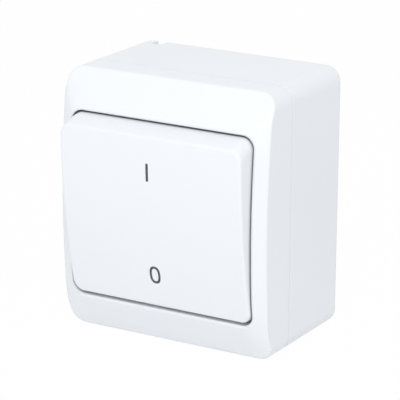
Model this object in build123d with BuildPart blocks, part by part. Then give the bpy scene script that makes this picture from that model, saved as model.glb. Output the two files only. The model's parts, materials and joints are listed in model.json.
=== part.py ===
from build123d import *
from math import cos, pi, radians, sin, sqrt
import os

# Surface-mounted double-pole switch with one large rocker, in millimetres.
# Origin: centre of the face that lies on the wall. +X right, +Y into the wall, +Z up.
# Depths are measured from the wall towards the room, so depth d lies at Y = -d.
# The rocker stands in its OFF position, with its lower end pressed in.

# Box: outline shared by the rear base and the front cover
box_width = 66.0
box_height = 76.0
corner_radius = 4.6
wall = 2.2
floor_thickness = 2.4
pivot_depth = 38.0
seam_setback = 10.4
seam_bevel = 0.25
lip_thickness = 0.9
lip_length = 1.8
lip_clearance = 0.1

# Front of the cover: a shallow arch from top to bottom with a bevelled rim
crest_rise = 5.4
arch_radius = 261.0
end_bevel_fall = 7.0
side_bevel_fall = 2.3
rim_fillet = 0.6
cover_skin = 1.8

# Opening for the rocker and the deck behind it
opening_width = 58.4
opening_height = 54.1
opening_corner = 3.6
opening_shift = -0.25
well_wall = 1.5
deck_setback = 6.0
deck_thickness = 1.6
deck_window_width = 38.0
deck_window_height = 19.0

# Rocker, measured from its pivot: reach is outwards, square to its face
rest_tilt = 7.55
face_reach = 9.15
face_radius = 186.0
swing_radius = 26.5
rocker_width = 57.5
rim_reach = -1.0
cap_corner = 3.2
cap_wall = 1.6
cap_skin = 1.8
face_fillet = 0.8
rib_thickness = 1.2
rib_spacing = 30.0

# Cradle under the cap, with its trunnions and plunger tubes
hub_width = 27.8
hub_height = 11.0
hub_back = 3.2
seat_reach = 6.0
hub_fillet = 0.8
trunnion_radius = 2.0
trunnion_span = 35.2
tube_radius = 3.2
bore_radius = 2.0
bore_top = 3.0
clip_width = 6.0
clip_thickness = 1.4
clip_barb = 0.7
clip_clearance = 0.05

# Sprung plungers and the two poles
pole_spacing = 17.0
running_clearance = 0.05
plunger_gap = 0.15
plunger_stand = 7.25
plunger_overlap = 8.0
plunger_hole_radius = 1.45
plunger_point = 6.25
spring_wire_radius = 0.22
spring_radius = 1.12
spring_turns = 7
spring_runs_per_turn = 8
spring_wire_sides = 5
spring_clearance = 0.05

# Rocking blade, which turns about the middle of the rib on its rear
blade_depth = 15.5
blade_thickness = 1.0
blade_width = 6.8
blade_end_clearance = 2.5
blade_rib_radius = 0.8
contact_inset = 1.6
contact_radius = 1.5
moving_tip_height = 0.6
fixed_tip_height = 0.8
contact_gap = 0.05

# Saddle and fixed contact strips
strip_width = 5.0
strip_thickness = 1.0
saddle_length = 3.0
saddle_drop = 0.35
platform_length = 4.6

# Insulating block
block_width = 38.0
block_height = 48.0
block_back = 5.0
block_setback = 10.0
step_height = 7.0
step_front = 22.0
chamber_width = 9.0
chamber_floor = 11.0
channel_clearance = 0.05
pocket_clearance = 0.1
pocket_wall = 1.3
flange_front = 9.0
flange_width = 7.8
stop_width = 1.8
stop_inset = 4.0
stop_length = 3.5
core_width = 9.0
core_margin = 11.0
core_depth = 3.0
stake_width = 2.2
stake_inset_x = 2.8
stake_inset_z = 2.5
stake_stand = 0.4

# Plate over the chambers, with the ears that carry the trunnions
plate_thickness = 1.8
plate_window_width = 24.8
plate_window_height = 10.8
ear_thickness = 2.4
ear_radius = 4.5
ear_play = 0.2

# Terminals
terminal_width = 7.0
terminal_height = 7.0
terminal_front = 20.0
terminal_bore_depth = 14.4
terminal_bore_radius = 1.9
terminal_screw_radius = 1.45
terminal_head_radius = 2.3
terminal_head_height = 1.6

# Screws
screw_clearance = 0.1
slot_width = 0.7
slot_depth = 0.8
block_screw_radius = 1.4
block_screw_length = 7.6
block_pad_radius = 3.2
block_head_radius = 2.8
block_head_height = 1.8
cover_screw_spacing = 47.0
cover_screw_radius = 1.3
cover_screw_length = 12.0
cover_post_radius = 3.0
cover_head_radius = 2.4
cover_head_height = 1.5

# Rear base: wall fixing, cable entry, knock-out and lever notch
wall_slot_inset = 8.0
wall_slot_length = 8.0
wall_slot_width = 4.2
entry_radius = 5.5
entry_inset_x = 15.0
entry_inset_z = 9.0
knockout_radius = 8.0
knockout_groove = 0.6
notch_size = 3.2
notch_inset = 8.0
web_thickness = 1.4
web_setback = 5.6

# Worked out from the sizes above
tilt = radians(rest_tilt)
outward = (0, -cos(tilt), -sin(tilt))
poles = {"left": -pole_spacing / 2, "right": pole_spacing / 2}
seam_depth = pivot_depth - seam_setback
crest_depth = pivot_depth + crest_rise
end_rim_depth = crest_depth - end_bevel_fall
deck_front = pivot_depth - deck_setback
deck_back = deck_front - deck_thickness
inner_width = box_width - 2 * wall
inner_height = box_height - 2 * wall
inner_corner = corner_radius - wall
wall_slot_spacing = box_height - 2 * wall_slot_inset
block_front = pivot_depth - block_setback
block_screw_spacing = block_height - step_height
channel_floor = chamber_floor - strip_thickness
plate_front = block_front + plate_thickness
plate_height = block_height - 2 * step_height
stake_spacing_x = block_width - 2 * stake_inset_x
stake_spacing_z = plate_height - 2 * stake_inset_z
stake_hole_width = stake_width + 2 * running_clearance
pocket_width = terminal_width + 2 * pocket_clearance
pocket_height = terminal_height + 2 * pocket_clearance
chamber_height = block_height - 2 * (pocket_height + pocket_wall)
terminal_outer = block_height / 2 - pocket_clearance
terminal_center = terminal_outer - terminal_height / 2
blade_front = blade_depth + blade_thickness
blade_arm = chamber_height / 2 - blade_end_clearance
contact_reach = blade_arm - contact_inset
plunger_radius = bore_radius - running_clearance
plunger_reach = pivot_depth - blade_front - plunger_gap
tube_reach = plunger_reach - plunger_stand
plunger_tail = tube_reach - plunger_overlap
plunger_hole_end = plunger_reach - plunger_point
fixed_tip_front = blade_depth - moving_tip_height - contact_gap
platform_front = fixed_tip_front - fixed_tip_height
opening_top = opening_shift + opening_height / 2
opening_bottom = opening_shift - opening_height / 2
side_band = (box_width - opening_width) / 2
bevel_slope = side_bevel_fall / side_band


def front(depth):
    """Plane parallel to the wall, facing the room."""
    return Plane.XZ.offset(depth)


def side(x):
    """Plane across the switch, with local x towards the wall and local y up."""
    return Plane.YZ.offset(x)


def arch_depth(height):
    """Depth of the arched front at a height above the middle."""
    return crest_depth - arch_radius + sqrt(arch_radius**2 - height**2)


def rocker_plane(reach):
    """Plane parallel to the rocker's face, at a reach from its pivot."""
    return Plane(origin=(0, -pivot_depth, 0), x_dir=(1, 0, 0), z_dir=outward).offset(reach)


def rocker_side(x):
    """Plane across the rocker: local x is outwards and local y is up along its face."""
    return Plane(origin=(x, -pivot_depth, 0), x_dir=outward, z_dir=(-1, 0, 0))


def finish(piece, label):
    """Name a finished piece and write it."""
    piece.part.label = label
    export_step(piece.part, "parts/" + label + ".step")


os.makedirs("parts", exist_ok=True)

# Rear base: open box with posts, fixing slots, cable entry and lever notch
with BuildPart() as rear_base:
    with BuildSketch(front(0)):
        RectangleRounded(box_width, box_height, corner_radius)
    extrude(amount=seam_depth)
    chamfer(rear_base.faces().sort_by(Axis.Y)[0].edges(), seam_bevel)
    with BuildSketch(front(floor_thickness)):
        RectangleRounded(inner_width, inner_height, inner_corner)
    extrude(amount=seam_depth, mode=Mode.SUBTRACT)
    with BuildSketch(front(seam_depth - lip_length - lip_clearance)):
        rebate = 2 * (lip_thickness + lip_clearance)
        RectangleRounded(inner_width + rebate, inner_height + rebate, inner_corner + rebate / 2)
    extrude(amount=seam_depth, mode=Mode.SUBTRACT)
    with BuildSketch(front(floor_thickness)):
        with GridLocations(cover_screw_spacing, 0, 2, 1):
            Circle(cover_post_radius)
    extrude(amount=seam_depth - floor_thickness)
    with BuildSketch(front(floor_thickness)):
        web_length = (box_width - cover_screw_spacing) / 2 - wall
        with GridLocations(cover_screw_spacing + web_length, 0, 2, 1):
            Rectangle(web_length, web_thickness)
    extrude(amount=seam_depth - web_setback - floor_thickness)
    with BuildSketch(front(floor_thickness)):
        with GridLocations(0, block_screw_spacing, 1, 2):
            Circle(block_pad_radius)
    extrude(amount=block_back - floor_thickness)
    with BuildSketch(front(seam_depth)):
        with GridLocations(cover_screw_spacing, 0, 2, 1):
            Circle(cover_screw_radius + screw_clearance)
    extrude(amount=-cover_screw_length, mode=Mode.SUBTRACT)
    with BuildSketch(front(block_back)):
        with GridLocations(0, block_screw_spacing, 1, 2):
            Circle(block_screw_radius + screw_clearance)
    block_hole = block_screw_length - (flange_front - block_back) + screw_clearance
    extrude(amount=-block_hole, mode=Mode.SUBTRACT)
    with BuildSketch(front(0)):
        with GridLocations(0, wall_slot_spacing, 1, 2):
            SlotOverall(wall_slot_length, wall_slot_width, rotation=90)
        with Locations((entry_inset_x - box_width / 2, box_height / 2 - entry_inset_z)):
            Circle(entry_radius)
    extrude(amount=floor_thickness, mode=Mode.SUBTRACT)
    with BuildSketch(front(0)):
        with Locations((notch_inset - box_width / 2, (box_height - wall) / 2)):
            Rectangle(notch_size, wall)
    extrude(amount=notch_size, mode=Mode.SUBTRACT)
    with BuildSketch(Plane.XY.offset(-box_height / 2)):
        with Locations((0, -seam_depth / 2)):
            Circle(knockout_radius + knockout_groove)
            Circle(knockout_radius, mode=Mode.SUBTRACT)
    extrude(amount=knockout_groove, mode=Mode.SUBTRACT)
finish(rear_base, "rear_base")

# Form of the cover's front without its end bevels: the arch, sheared down at each side
def arch_outline(x):
    """Area under the arch, seen from the side at x."""
    arch_end = arch_depth(box_height / 2)
    half = box_height / 2
    with BuildSketch(side(x)) as outline:
        with BuildLine():
            ThreePointArc((-arch_end, half), (-crest_depth, 0), (-arch_end, -half))
            Polyline((-arch_end, -half), (0, -half), (0, half), (-arch_end, half))
        make_face()
    return outline.sketch


with BuildPart() as side_form:
    bevel_run = 2 * side_band * sqrt(1 + bevel_slope**2)
    extrude(arch_outline(0), amount=opening_width / 2, both=True)
    for direction in (-1, 1):
        edge_outline = arch_outline(direction * opening_width / 2)
        extrude(edge_outline, amount=bevel_run, dir=(direction, bevel_slope, 0))

# Front cover: bevelled frame, rocker well, deck, screw bosses and lip
with BuildPart() as front_cover:
    with BuildSketch(front(seam_depth)):
        RectangleRounded(box_width, box_height, corner_radius)
    extrude(amount=crest_depth - seam_depth)
    with BuildSketch(side(0)):
        with BuildLine():
            ThreePointArc(
                (-arch_depth(opening_top), opening_top),
                (-crest_depth, 0),
                (-arch_depth(opening_bottom), opening_bottom),
            )
            Polyline(
                (-arch_depth(opening_bottom), opening_bottom),
                (-end_rim_depth, -box_height / 2),
                (0, -box_height / 2),
                (0, box_height / 2),
                (-end_rim_depth, box_height / 2),
                (-arch_depth(opening_top), opening_top),
            )
        make_face()
    extrude(amount=box_width / 2, both=True, mode=Mode.INTERSECT)
    add(side_form.part, mode=Mode.INTERSECT)
    rims = front_cover.edges().filter_by(Axis.X)
    fillet(rims.filter_by_position(Axis.Y, -end_rim_depth, -end_rim_depth), rim_fillet)
    chamfer(front_cover.faces().sort_by(Axis.Y)[-1].edges(), seam_bevel)
    with BuildSketch(front(deck_front)):
        with Locations((0, opening_shift)):
            RectangleRounded(opening_width, opening_height, opening_corner)
    extrude(amount=crest_depth, mode=Mode.SUBTRACT)
    with BuildSketch(front(seam_depth)):
        RectangleRounded(inner_width, inner_height, inner_corner)
    extrude(amount=deck_back - seam_depth, mode=Mode.SUBTRACT)
    for edge, rim in ((opening_top, box_height / 2), (opening_bottom, -box_height / 2)):
        run = abs(rim - edge)
        fall = (arch_depth(edge) - end_rim_depth) / run
        inner_edge = edge + well_wall * rim / abs(rim)
        inner_rim = rim - wall * rim / abs(rim)
        with BuildSketch(side(0)):
            with BuildLine():
                Polyline(
                    (-seam_depth, inner_edge),
                    (cover_skin + well_wall * fall - arch_depth(edge), inner_edge),
                    (cover_skin - wall * fall - end_rim_depth, inner_rim),
                    (-seam_depth, inner_rim),
                    close=True,
                )
            make_face()
        extrude(amount=inner_width / 2, both=True, mode=Mode.SUBTRACT)
    with BuildSketch(front(seam_depth)):
        with GridLocations(cover_screw_spacing, 0, 2, 1):
            Circle(cover_post_radius)
    extrude(amount=deck_back - seam_depth)
    with BuildSketch(front(seam_depth)):
        Rectangle(deck_window_width, deck_window_height)
        with GridLocations(cover_screw_spacing, 0, 2, 1):
            Circle(cover_screw_radius + screw_clearance)
    extrude(amount=deck_front - seam_depth, mode=Mode.SUBTRACT)
    with BuildSketch(front(seam_depth - lip_length)):
        lip = 2 * lip_thickness
        RectangleRounded(inner_width + lip, inner_height + lip, inner_corner + lip_thickness)
        RectangleRounded(inner_width, inner_height, inner_corner, mode=Mode.SUBTRACT)
    extrude(amount=lip_length + seam_bevel)
finish(front_cover, "front_cover")

# Insulating block: two contact chambers, four terminal pockets and the screw flanges
with BuildPart() as mechanism_block:
    with BuildSketch(front(block_back)):
        Rectangle(block_width, block_height)
    extrude(amount=step_front - block_back)
    with BuildSketch(front(step_front)):
        Rectangle(block_width, plate_height)
    extrude(amount=block_front - step_front)
    with BuildSketch(front(chamber_floor)):
        with GridLocations(pole_spacing, 0, 2, 1):
            Rectangle(chamber_width, chamber_height)
    extrude(amount=block_front, mode=Mode.SUBTRACT)
    with BuildSketch(front(chamber_floor)):
        with GridLocations(pole_spacing, block_height - pocket_height, 2, 2):
            Rectangle(pocket_width, pocket_height)
    extrude(amount=block_front, mode=Mode.SUBTRACT)
    with BuildSketch(front(channel_floor)):
        with GridLocations(pole_spacing, 0, 2, 1):
            Rectangle(strip_width + 2 * channel_clearance, block_height)
    extrude(amount=strip_thickness, mode=Mode.SUBTRACT)
    with BuildSketch(front(flange_front)):
        with GridLocations(0, block_height - step_height, 1, 2):
            Rectangle(flange_width, step_height)
    extrude(amount=block_front, mode=Mode.SUBTRACT)
    with BuildSketch(front(block_back)):
        with GridLocations(0, block_screw_spacing, 1, 2):
            Circle(block_screw_radius + screw_clearance)
    extrude(amount=flange_front - block_back, mode=Mode.SUBTRACT)
    with BuildSketch(front(block_back)):
        with GridLocations(pole_spacing, 0, 2, 1):
            Rectangle(core_width, block_height - 2 * core_margin)
    extrude(amount=core_depth, mode=Mode.SUBTRACT)
    with BuildSketch(front(chamber_floor)):
        for pole in poles.values():
            for direction in (-1, 1):
                stop_x = pole + direction * (chamber_width - stop_width) / 2
                with Locations((stop_x, blade_arm - stop_inset + stop_length / 2)):
                    Rectangle(stop_width, stop_length)
    extrude(amount=blade_depth - contact_gap - chamber_floor)
    with BuildSketch(front(block_front)):
        with GridLocations(stake_spacing_x, stake_spacing_z, 2, 2):
            Rectangle(stake_width, stake_width)
    extrude(amount=plate_thickness + stake_stand)
finish(mechanism_block, "mechanism_block")

# Plate over the chambers, with two ears for the rocker's trunnions
with BuildPart() as mechanism_plate:
    with BuildSketch(front(block_front)):
        Rectangle(block_width, plate_height)
        Rectangle(plate_window_width, plate_window_height, mode=Mode.SUBTRACT)
        with GridLocations(stake_spacing_x, stake_spacing_z, 2, 2):
            Rectangle(stake_hole_width, stake_hole_width, mode=Mode.SUBTRACT)
    extrude(amount=plate_thickness)
    for direction in (-1, 1):
        ear_x = direction * (hub_width / 2 + ear_play)
        with BuildSketch(side(ear_x)):
            with Locations((-(plate_front + pivot_depth) / 2, 0)):
                Rectangle(pivot_depth - plate_front, 2 * ear_radius)
            with Locations((-pivot_depth, 0)):
                Circle(ear_radius)
                Circle(trunnion_radius + running_clearance, mode=Mode.SUBTRACT)
        extrude(amount=direction * ear_thickness)
finish(mechanism_plate, "mechanism_plate")

# Cap form: end walls follow the swing about the pivot, the face is a shallow curve
def cap_section(inset, skin):
    """Section of the cap seen from the side, drawn in from its end walls and its face."""
    radius = swing_radius - inset
    reach = face_reach - skin
    with BuildSketch(rocker_side(0)) as section:
        Circle(radius)
        with Locations((reach - face_radius, 0)):
            Circle(face_radius, mode=Mode.INTERSECT)
        with Locations((rim_reach - radius, 0)):
            Rectangle(2 * radius, 2 * radius, mode=Mode.SUBTRACT)
    return section.sketch


with BuildPart() as rocker_cap:
    extrude(cap_section(0, 0), amount=rocker_width / 2, both=True)
    corner_edges = rocker_cap.edges().filter_by(GeomType.CIRCLE).filter_by(
        lambda edge: edge.radius == swing_radius
    )
    fillet(corner_edges, cap_corner)
    fillet(rocker_cap.faces().sort_by(Axis.Y)[0].edges(), face_fillet)
    extrude(
        cap_section(cap_wall, cap_skin),
        amount=rocker_width / 2 - cap_wall,
        both=True,
        mode=Mode.SUBTRACT,
    )
    under_face = face_reach - cap_skin
    with BuildSketch(rocker_plane(seat_reach)):
        Rectangle(hub_width, hub_height)
        pad_wall = 2 * rib_thickness
        Rectangle(hub_width - pad_wall, hub_height - pad_wall, mode=Mode.SUBTRACT)
    extrude(amount=under_face - seat_reach + cap_skin / 2)
    with BuildSketch(rocker_plane(seat_reach)):
        with GridLocations(rib_spacing, 0, 2, 1):
            Rectangle(rib_thickness, 2 * (swing_radius - cap_wall) - cap_wall)
    extrude(amount=under_face - seat_reach)
    for direction in (-1, 1):
        leg_inner = hub_height / 2 + clip_clearance
        leg_outer = leg_inner + clip_thickness
        barb_reach = -hub_back - clip_clearance
        with BuildSketch(rocker_side(0)):
            with BuildLine():
                Polyline(
                    (under_face, direction * leg_inner),
                    (barb_reach, direction * leg_inner),
                    (barb_reach, direction * (leg_inner - clip_barb)),
                    (barb_reach - clip_barb, direction * leg_inner),
                    (barb_reach - clip_barb, direction * leg_outer),
                    (under_face, direction * leg_outer),
                    close=True,
                )
            make_face()
        extrude(amount=clip_width / 2, both=True)
finish(rocker_cap, "rocker_cap")

# Cradle: hub, trunnions and the two plunger tubes
with BuildPart() as rocker_cradle:
    with BuildSketch(rocker_plane(-hub_back)):
        Rectangle(hub_width, hub_height)
    extrude(amount=seat_reach + hub_back)
    fillet(rocker_cradle.edges().filter_by(Axis.X), hub_fillet)
    with BuildSketch(rocker_plane(-tube_reach)):
        with GridLocations(pole_spacing, 0, 2, 1):
            Circle(tube_radius)
    extrude(amount=tube_reach)
    with BuildSketch(rocker_side(0)):
        Circle(trunnion_radius)
    extrude(amount=trunnion_span / 2, both=True)
    with BuildSketch(rocker_plane(-tube_reach)):
        with GridLocations(pole_spacing, 0, 2, 1):
            Circle(bore_radius)
    extrude(amount=tube_reach + bore_top, mode=Mode.SUBTRACT)
finish(rocker_cradle, "rocker_cradle")


def blade_profile():
    """Bent strip seen from the side: one arm upright, the other leaning into the chamber."""
    lean = 2 * tilt
    low_rear = (-blade_depth - blade_arm * sin(lean), -blade_arm * cos(lean))
    low_front = (
        low_rear[0] - blade_thickness * cos(lean),
        low_rear[1] + blade_thickness * sin(lean),
    )
    Polyline(
        (-blade_front, blade_arm),
        (-blade_front, blade_thickness * sin(tilt) / cos(tilt)),
        low_front,
        low_rear,
        (-blade_depth, 0),
        (-blade_depth, blade_arm),
        close=True,
    )


for name, pole in poles.items():
    # Plunger: nose rounded along the blade, hollow tail for its spring
    nose_reach = plunger_reach - plunger_radius
    shank_length = nose_reach - plunger_tail
    with BuildPart() as plunger:
        with BuildSketch(rocker_plane(-plunger_reach)):
            with Locations((pole, 0)):
                Circle(plunger_radius)
        extrude(amount=plunger_reach - plunger_tail)
        with BuildSketch(rocker_side(pole)):
            with Locations((-nose_reach, 0)):
                Circle(plunger_radius)
            with Locations((shank_length / 2 - nose_reach, 0)):
                Rectangle(shank_length, 2 * plunger_radius)
        extrude(amount=plunger_radius, both=True, mode=Mode.INTERSECT)
        with BuildSketch(rocker_plane(-plunger_hole_end)):
            with Locations((pole, 0)):
                Circle(plunger_hole_radius)
        extrude(amount=plunger_hole_end - plunger_tail, mode=Mode.SUBTRACT)
    finish(plunger, "plunger_" + name)

    # Spring between the tube's end and the bottom of the plunger's hole, in short straight runs
    spring_end = spring_wire_radius + spring_clearance
    spring_length = bore_top + plunger_hole_end - 2 * spring_end
    runs = spring_turns * spring_runs_per_turn
    with BuildPart() as plunger_spring:
        with BuildLine(rocker_plane(spring_end - plunger_hole_end)) as coil:
            turn = 2 * pi / spring_runs_per_turn
            coil_points = []
            for run in range(runs + 1):
                across = pole + spring_radius * cos(turn * run)
                upward = spring_radius * sin(turn * run)
                coil_points.append((across, upward, spring_length * run / runs))
            Polyline(*coil_points)
        with BuildSketch(Plane(origin=coil.line @ 0, z_dir=coil.line % 0)):
            RegularPolygon(spring_wire_radius, spring_wire_sides)
        sweep(path=coil.line, transition=Transition.RIGHT)
    finish(plunger_spring, "plunger_spring_" + name)

    # Rocking blade, with the rib that turns in the saddle's notch
    with BuildPart() as moving_contact:
        with BuildSketch(side(pole)):
            with BuildLine():
                blade_profile()
            make_face()
            with Locations((-blade_depth, 0)):
                Circle(blade_rib_radius)
        extrude(amount=blade_width / 2, both=True)
    finish(moving_contact, "moving_contact_" + name)

    # Contact rivet on the rear of the blade's leaning arm
    arm_rear = Plane(
        origin=(pole, -blade_depth, 0), x_dir=(1, 0, 0), z_dir=(0, cos(2 * tilt), -sin(2 * tilt))
    )
    with BuildPart() as moving_tip:
        with BuildSketch(arm_rear):
            with Locations((0, contact_reach)):
                Circle(contact_radius)
        extrude(amount=moving_tip_height)
    finish(moving_tip, "moving_tip_" + name)

    # Saddle: strip to the upper terminal with an upright notched for the blade
    with BuildPart() as contact_saddle:
        with BuildSketch(front(channel_floor)):
            strip_end = terminal_outer
            strip_start = -saddle_length / 2
            with Locations((pole, (strip_start + strip_end) / 2)):
                Rectangle(strip_width, strip_end - strip_start)
        extrude(amount=strip_thickness)
        with BuildSketch(front(chamber_floor)):
            with Locations((pole, 0)):
                Rectangle(strip_width, saddle_length)
        extrude(amount=blade_depth - saddle_drop - chamber_floor)
        with BuildSketch(side(pole)):
            with Locations((-blade_depth, 0)):
                Circle(blade_rib_radius + running_clearance)
        extrude(amount=strip_width, both=True, mode=Mode.SUBTRACT)
    finish(contact_saddle, "contact_saddle_" + name)

    # Fixed contact: strip to the lower terminal, bent up to a platform for its rivet
    platform_inner = -contact_reach + platform_length / 2
    platform_outer = -contact_reach - platform_length / 2
    with BuildPart() as fixed_contact:
        with BuildSketch(side(pole)):
            with BuildLine():
                Polyline(
                    (-channel_floor, -terminal_outer),
                    (-channel_floor, platform_outer + strip_thickness),
                    (-platform_front + strip_thickness, platform_outer + strip_thickness),
                    (-platform_front + strip_thickness, platform_inner),
                    (-platform_front, platform_inner),
                    (-platform_front, platform_outer),
                    (-chamber_floor, platform_outer),
                    (-chamber_floor, -terminal_outer),
                    close=True,
                )
            make_face()
        extrude(amount=strip_width / 2, both=True)
    finish(fixed_contact, "fixed_contact_" + name)

    with BuildPart() as fixed_tip:
        with BuildSketch(front(platform_front)):
            with Locations((pole, -contact_reach)):
                Circle(contact_radius)
        extrude(amount=fixed_tip_height)
    finish(fixed_tip, "fixed_tip_" + name)

    # Pillar terminals above and below the chamber
    for level, direction in {"top": 1, "bottom": -1}.items():
        with BuildPart() as terminal:
            with BuildSketch(front(chamber_floor)):
                with Locations((pole, direction * terminal_center)):
                    Rectangle(terminal_width, terminal_height)
            extrude(amount=terminal_front - chamber_floor)
            with BuildSketch(Plane.XY.offset(direction * terminal_outer)):
                with Locations((pole, -terminal_bore_depth)):
                    Circle(terminal_bore_radius)
            extrude(amount=-direction * terminal_height, mode=Mode.SUBTRACT)
            with BuildSketch(front(terminal_front)):
                with Locations((pole, direction * terminal_center)):
                    Circle(terminal_screw_radius + running_clearance)
            extrude(amount=terminal_bore_depth - terminal_front, mode=Mode.SUBTRACT)
        finish(terminal, "terminal_" + level + "_" + name)


def screw_outline(depth, spots, outline):
    """The same outline at each spot of one depth."""
    with BuildSketch(front(depth)) as outlines:
        with Locations(*spots):
            add(outline)
    return outlines.sketch


def slotted_screws(spots, seat, shank, shank_length, head, head_height):
    """Cheese-head screws at a list of spots, their heads seated at one depth."""
    with BuildSketch() as shank_round:
        Circle(shank)
    with BuildSketch() as head_round:
        Circle(head)
    with BuildSketch() as slot:
        Rectangle(2 * head, slot_width)
    top = seat + head_height
    extrude(screw_outline(seat, spots, shank_round.sketch), amount=-shank_length)
    extrude(screw_outline(seat, spots, head_round.sketch), amount=head_height)
    extrude(screw_outline(top, spots, slot.sketch), amount=-slot_depth, mode=Mode.SUBTRACT)


with BuildPart() as terminal_screws:
    slotted_screws(
        [(pole, level * terminal_center) for pole in poles.values() for level in (-1, 1)],
        terminal_front,
        terminal_screw_radius,
        terminal_front - terminal_bore_depth - terminal_bore_radius - running_clearance,
        terminal_head_radius,
        terminal_head_height,
    )
finish(terminal_screws, "terminal_screws")

with BuildPart() as mechanism_screws:
    slotted_screws(
        [(0, level * block_screw_spacing / 2) for level in (-1, 1)],
        flange_front,
        block_screw_radius,
        block_screw_length,
        block_head_radius,
        block_head_height,
    )
finish(mechanism_screws, "mechanism_screws")

with BuildPart() as cover_screws:
    slotted_screws(
        [(level * cover_screw_spacing / 2, 0) for level in (-1, 1)],
        deck_front,
        cover_screw_radius,
        cover_screw_length,
        cover_head_radius,
        cover_head_height,
    )
finish(cover_screws, "cover_screws")
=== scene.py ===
"""Double-pole wall switch with one large rocker: finishes, marks, springs, threads, light, camera.

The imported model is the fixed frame. Sizes in the classes are in millimetres, in the frame of the
part: x across the wall, minus y out of it, z up, with the middle of the box at the origin.
"""

import json
import logging
import math
from dataclasses import dataclass
from enum import Enum
from typing import Any

import bmesh
import bpy
from mathutils import Matrix, Vector
from mathutils.bvhtree import BVHTree

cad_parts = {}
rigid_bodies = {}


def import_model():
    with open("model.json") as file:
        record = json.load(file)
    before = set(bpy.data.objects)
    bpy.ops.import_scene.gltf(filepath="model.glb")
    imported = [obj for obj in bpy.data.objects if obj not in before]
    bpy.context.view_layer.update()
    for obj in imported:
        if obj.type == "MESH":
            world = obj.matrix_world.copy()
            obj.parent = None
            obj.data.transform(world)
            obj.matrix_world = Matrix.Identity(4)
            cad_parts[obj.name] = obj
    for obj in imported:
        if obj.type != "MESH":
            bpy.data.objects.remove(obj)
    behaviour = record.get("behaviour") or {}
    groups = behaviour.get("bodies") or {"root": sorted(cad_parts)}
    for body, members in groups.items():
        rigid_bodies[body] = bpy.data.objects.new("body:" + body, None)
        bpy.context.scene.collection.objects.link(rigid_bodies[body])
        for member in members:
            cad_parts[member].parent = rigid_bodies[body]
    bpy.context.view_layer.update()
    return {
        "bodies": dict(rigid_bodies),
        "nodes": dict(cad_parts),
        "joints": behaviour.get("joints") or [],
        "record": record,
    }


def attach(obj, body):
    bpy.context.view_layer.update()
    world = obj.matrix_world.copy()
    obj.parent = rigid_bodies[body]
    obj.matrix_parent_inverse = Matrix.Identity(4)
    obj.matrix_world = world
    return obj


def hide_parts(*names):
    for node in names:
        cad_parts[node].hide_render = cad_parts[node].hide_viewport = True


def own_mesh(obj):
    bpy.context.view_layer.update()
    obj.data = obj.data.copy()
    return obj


MM = 0.001
Triple = tuple[float, float, float]
Colour = Triple
Socket = bpy.types.NodeSocket
log = logging.getLogger("double_pole_switch")


def clamped(value: float) -> float:
    """Keeps a number between 0 and 1."""
    return min(1.0, max(0.0, value))


def spaced(values: dict[str, Any]) -> dict[str, Any]:
    """Writes the underscores in the names of values as spaces."""
    return {title.replace("_", " "): value for title, value in values.items()}


def placed(name: str, data: bpy.types.ID) -> bpy.types.Object:
    """Puts a new object in the scene.

    Args:
        name: the object's name.
        data: its mesh, lamp or camera.

    Returns:
        The object.
    """
    thing = bpy.data.objects.new(name, data)
    bpy.context.scene.collection.objects.link(thing)
    return thing


def applied(draft: bpy.types.Object) -> bpy.types.Mesh:
    """Applies an object's modifiers.

    Args:
        draft: the object, which is removed.

    Returns:
        The mesh that it showed.
    """
    bpy.context.view_layer.update()
    shown = draft.evaluated_get(bpy.context.evaluated_depsgraph_get())
    mesh = bpy.data.meshes.new_from_object(shown)
    bpy.data.objects.remove(draft)
    return mesh


def dress_nodes(frame: dict[str, Any], material: bpy.types.Material, *names: str) -> None:
    """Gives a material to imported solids.

    Args:
        frame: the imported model.
        material: the finished material.
        names: the solids' names.
    """
    for name in names:
        solid = frame["nodes"][name]
        solid.data.materials.clear()
        solid.data.materials.append(material)
        log.info("%s: finish %s", name, material.name)


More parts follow.
